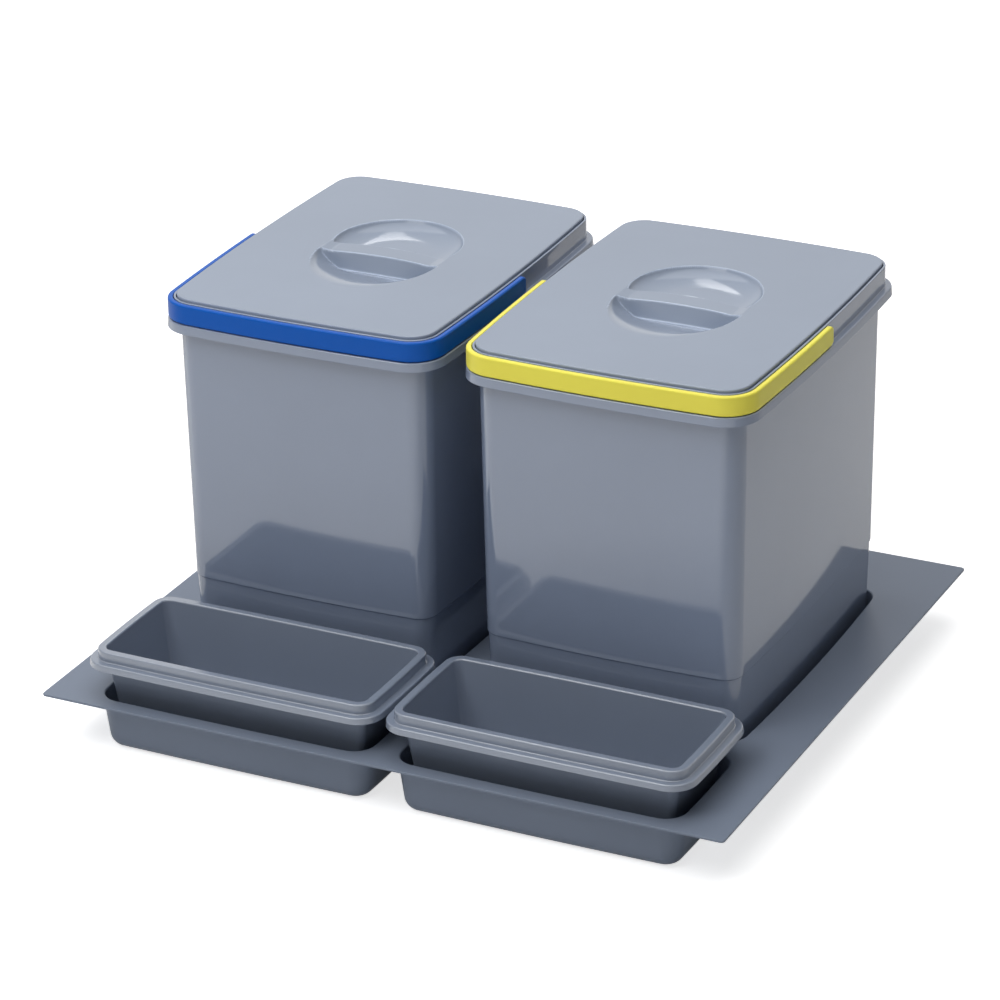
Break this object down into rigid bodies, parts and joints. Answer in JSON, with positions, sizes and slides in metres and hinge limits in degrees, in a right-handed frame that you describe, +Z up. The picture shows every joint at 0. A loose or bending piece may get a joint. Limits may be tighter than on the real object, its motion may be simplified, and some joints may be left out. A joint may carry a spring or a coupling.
{
  "type": "in-drawer waste sorting insert",
  "caption": "Moulded drawer pan with deep bin recesses and shallow front pockets, holding lidded bins with swinging carry bails and stepped-rim trays.",
  "frame": {"origin": "under the middle of the overall bounding box, level with the undersides of the sunk compartments", "axes": "+Z up, +Y from the tray side towards the back of the drawer, +X to the right seen from the trays"},
  "size_m": [0.5322, 0.466, 0.3077],
  "materials": {
    "pan_grey": "fine satin moulded plastic, cool mid grey",
    "bin_grey": "polished moulded plastic, cool mid grey",
    "lid_grey": "soft satin moulded plastic, cool mid grey",
    "bail_blue": "satin moulded plastic, strong blue",
    "bail_yellow": "satin moulded plastic, clear yellow",
    "tray_grey": "satin moulded plastic, cool mid grey"
  },
  "bodies": {
    "pan": {"base_pan": "pan_grey"},
    "bin_left": {"bin_body_left": "bin_grey"},
    "bin_right": {"bin_body_right": "bin_grey"},
    "lid_left": {"lid_left": "lid_grey"},
    "lid_right": {"lid_right": "lid_grey"},
    "handle_left": {"handle_left": "bail_blue"},
    "handle_right": {"handle_right": "bail_yellow"},
    "tray_left": {"organiser_tray_left": "tray_grey"},
    "tray_right": {"organiser_tray_right": "tray_grey"}
  },
  "joints": [
    {"name": "bin_left_lift", "type": "slide", "parent": "pan", "child": "bin_left", "axis": [0, 0, 1], "range_m": [0, 0.12]},
    {"name": "bin_right_lift", "type": "slide", "parent": "pan", "child": "bin_right", "axis": [0, 0, 1], "range_m": [0, 0.12]},
    {"name": "tray_left_lift", "type": "slide", "parent": "pan", "child": "tray_left", "axis": [0, 0, 1], "range_m": [0, 0.09]},
    {"name": "tray_right_lift", "type": "slide", "parent": "pan", "child": "tray_right", "axis": [0, 0, 1], "range_m": [0, 0.09]},
    {"name": "lid_left_lift", "type": "slide", "parent": "bin_left", "child": "lid_left", "axis": [0, 0, 1], "range_m": [0, 0.08]},
    {"name": "lid_right_lift", "type": "slide", "parent": "bin_right", "child": "lid_right", "axis": [0, 0, 1], "range_m": [0, 0.08]},
    {"name": "handle_left_swing", "type": "hinge", "parent": "bin_left", "child": "handle_left", "pos_m": [-0.11907, 0.03553, 0.2979], "axis": [-1, 0, 0], "range_deg": [0, 180]},
    {"name": "handle_right_swing", "type": "hinge", "parent": "bin_right", "child": "handle_right", "pos_m": [0.11907, 0.03553, 0.2979], "axis": [-1, 0, 0], "range_deg": [0, 180]}
  ]
}
